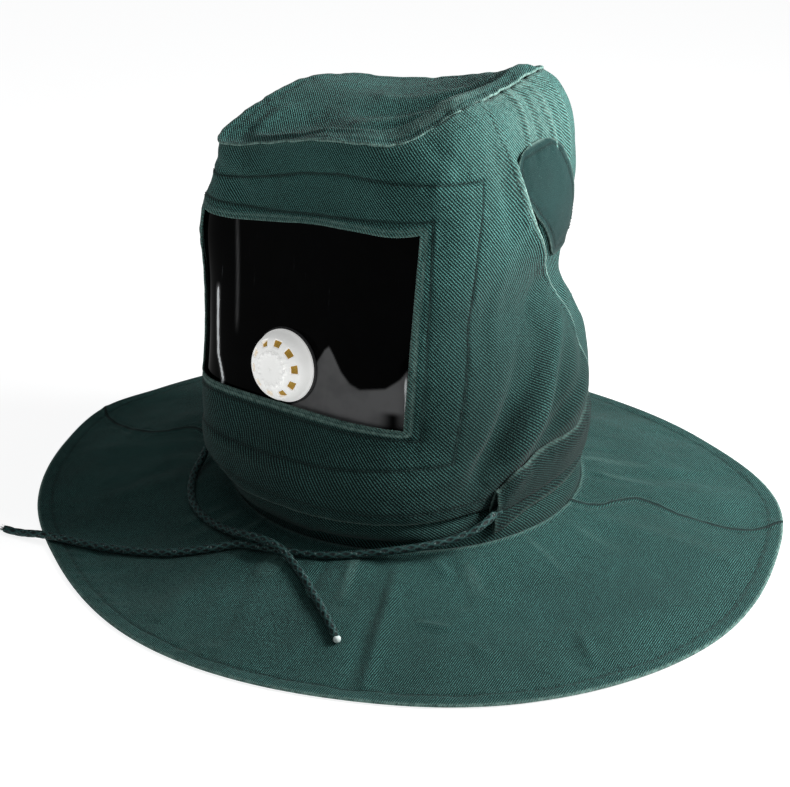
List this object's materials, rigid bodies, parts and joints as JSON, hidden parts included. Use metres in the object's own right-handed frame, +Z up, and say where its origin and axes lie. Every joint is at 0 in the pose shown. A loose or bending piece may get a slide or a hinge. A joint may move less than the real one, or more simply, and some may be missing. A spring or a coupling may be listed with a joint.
{
  "type": "sandblasting hood",
  "caption": "Green cloth sandblasting hood with a clear wrap-round visor, a white breathing valve, ear flaps, a drawcord neck band and a round shoulder cape.",
  "frame": {"origin": "on the rest plane, under the middle of the cape's outline", "axes": "+Z up out of the crown, -Y out of the window, +X towards the wearer's left"},
  "size_m": [0.6764, 0.5988, 0.3889],
  "materials": {
    "hood_cloth": "matte dark green twill",
    "visor_sheet": "clear thin sheet with a dark inside behind it",
    "valve_plastic": "satin white",
    "filter_plastic": "matte ochre",
    "seal_rubber": "matte black",
    "cord_braid": "braided dark green cord"
  },
  "bodies": {
    "root": {"hood_front": "hood_cloth", "hood_back": "hood_cloth", "neck_strip": "hood_cloth", "crown_panel": "hood_cloth", "ear_flap_right": "hood_cloth", "ear_flap_left": "hood_cloth", "cape_front": "hood_cloth", "cape_back": "hood_cloth", "visor": "visor_sheet", "valve_cap": "valve_plastic", "valve_filter": "filter_plastic", "valve_seal": "seal_rubber", "valve_nut": "valve_plastic", "neck_band": "hood_cloth", "drawcord_back": "cord_braid", "drawcord_right": "cord_braid", "drawcord_left": "cord_braid"}
  },
  "joints": []
}
